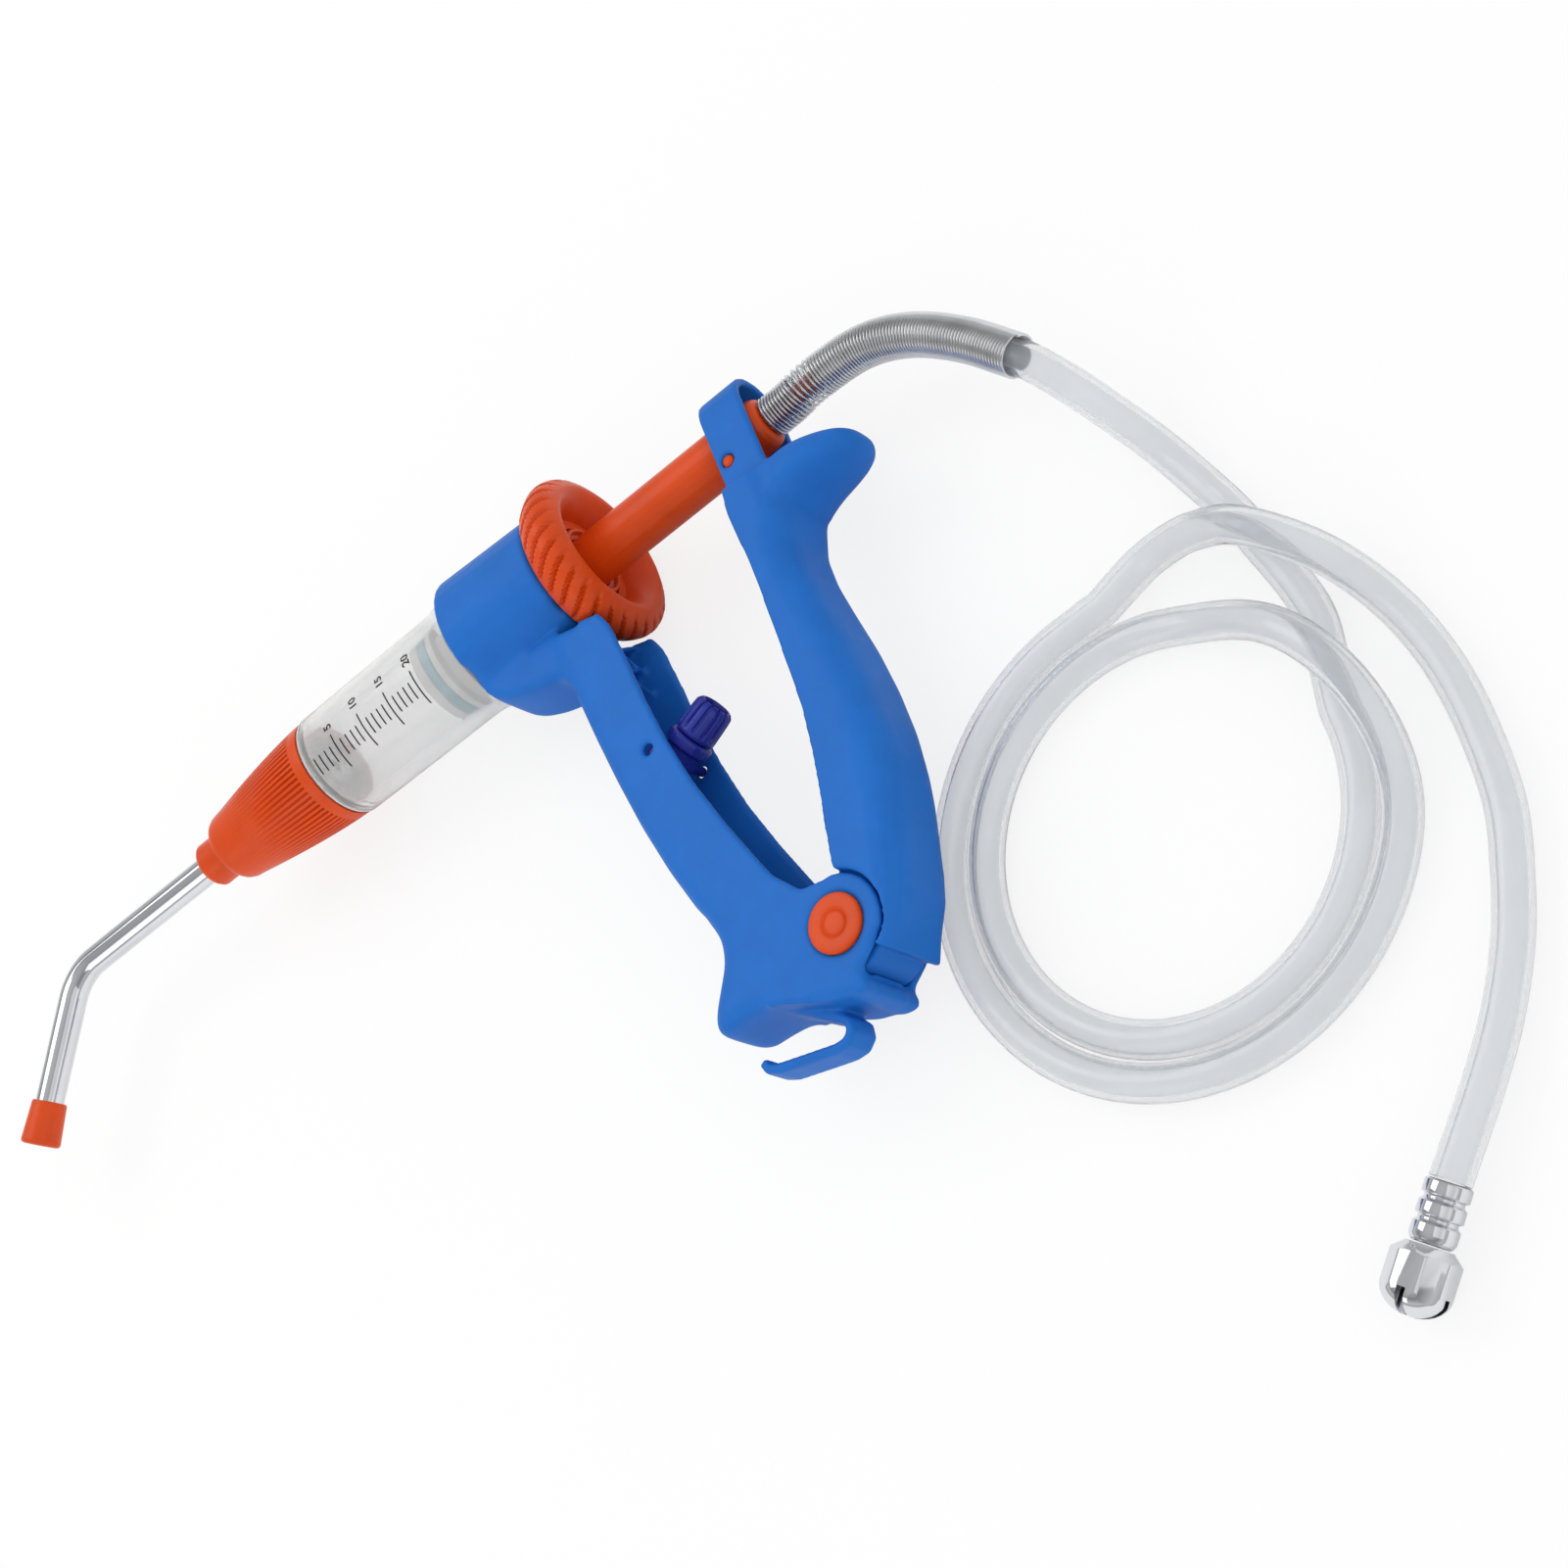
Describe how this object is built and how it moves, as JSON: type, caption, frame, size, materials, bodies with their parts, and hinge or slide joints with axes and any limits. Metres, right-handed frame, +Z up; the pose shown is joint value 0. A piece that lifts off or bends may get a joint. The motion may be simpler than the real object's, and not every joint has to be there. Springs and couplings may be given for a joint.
{
  "type": "automatic veterinary syringe",
  "caption": "Hand-squeezed automatic drenching syringe with a clear graduated barrel, bent drench tube, dose wheel, stroke stop, belt hook and a coiled supply hose with a sinker.",
  "frame": {"origin": "on the surface the syringe lies on, under the middle of the syringe without its hose", "axes": "+X along the barrel from the nozzle towards the hose, +Y from the handles' foot up to the barrel, +Z up from the surface"},
  "size_m": [0.415, 0.2963, 0.0475],
  "materials": {
    "blue_plastic": "satin moulded",
    "orange_plastic": "smooth moulded",
    "navy_plastic": "smooth moulded",
    "clear_barrel": "translucent, slightly frosted",
    "pale_plastic": "smooth",
    "seal_rubber": "smooth turquoise",
    "valve_rubber": "smooth dark",
    "chrome": "polished",
    "spring_steel": "bright drawn wire",
    "clear_hose": "clear flexible tube"
  },
  "bodies": {
    "syringe_body": {"front_handle": "blue_plastic", "pivot_axle": "orange_plastic", "axle_cap": "orange_plastic", "return_spring": "spring_steel", "barrel": "clear_barrel", "nose_cone": "orange_plastic", "outlet_seat": "valve_rubber", "outlet_spring": "spring_steel", "nozzle_washer": "valve_rubber", "drench_tube": "chrome", "tube_tip": "orange_plastic", "stop_nut": "navy_plastic", "hose_coil": "clear_hose", "hose_tail": "clear_hose", "hose_ferrule": "chrome", "sinker_head": "chrome"},
    "squeeze_lever": {"rear_handle": "blue_plastic", "trunnion_pin": "orange_plastic"},
    "plunger": {"plunger_rod": "orange_plastic", "piston": "pale_plastic", "piston_seal": "seal_rubber", "inlet_cage": "pale_plastic", "inlet_spring": "spring_steel", "hose_spring_sleeve": "spring_steel", "hose_lead": "clear_hose"},
    "inlet_disc": {"inlet_valve": "valve_rubber"},
    "outlet_disc": {"outlet_valve": "valve_rubber"},
    "dose_wheel": {"dose_nut": "orange_plastic"},
    "dose_stop": {"dose_sleeve": "orange_plastic"},
    "stop_screw": {"stop_stem": "navy_plastic"},
    "stop_cap": {"stop_knob": "navy_plastic"}
  },
  "joints": [
    {"name": "squeeze", "type": "hinge", "parent": "syringe_body", "child": "squeeze_lever", "pos_m": [0.08547, -0.06793, 0.02375], "axis": [0, 0, 1], "range_deg": [0, 18], "stiffness_Nm_per_rad": 1.2, "springref_deg": -17.19, "deforming": ["return_spring"]},
    {"name": "plunge", "type": "slide", "parent": "syringe_body", "child": "plunger", "axis": [-1, 0, 0], "range_m": [0, 0.0399], "deforming": ["hose_lead"]},
    {"name": "inlet_lift", "type": "slide", "parent": "plunger", "child": "inlet_disc", "axis": [-1, 0, 0], "range_m": [0, 0.0015], "stiffness_N_per_m": 40, "springref_m": -0.001, "deforming": ["inlet_spring"]},
    {"name": "outlet_lift", "type": "slide", "parent": "syringe_body", "child": "outlet_disc", "axis": [-1, 0, 0], "range_m": [0, 0.0015], "stiffness_N_per_m": 40, "springref_m": -0.001, "deforming": ["outlet_spring"]},
    {"name": "dose_turn", "type": "hinge", "parent": "syringe_body", "child": "dose_wheel", "pos_m": [0.05227, 0.06817, 0.02375], "axis": [1, 0, 0], "range_deg": [0, 360]},
    {"name": "dose_set", "type": "slide", "parent": "syringe_body", "child": "dose_stop", "axis": [-1, 0, 0], "range_m": [0, 0.005]},
    {"name": "stop_advance", "type": "slide", "parent": "syringe_body", "child": "stop_screw", "axis": [0.9367, 0.3502, 0], "range_m": [0, 0.006]},
    {"name": "stop_turn", "type": "hinge", "parent": "stop_screw", "child": "stop_cap", "pos_m": [0.05527, 0.00227, 0.02375], "axis": [0.9367, 0.3502, 0], "range_deg": [0, 1440]}
  ],
  "couplings": [
    {"joint": "plunge", "follows": "squeeze", "m_per_rad": 0.12698},
    {"joint": "dose_turn", "follows": "dose_set", "rad_per_m": 1256.6},
    {"joint": "stop_turn", "follows": "stop_advance", "rad_per_m": 4188.8}
  ]
}
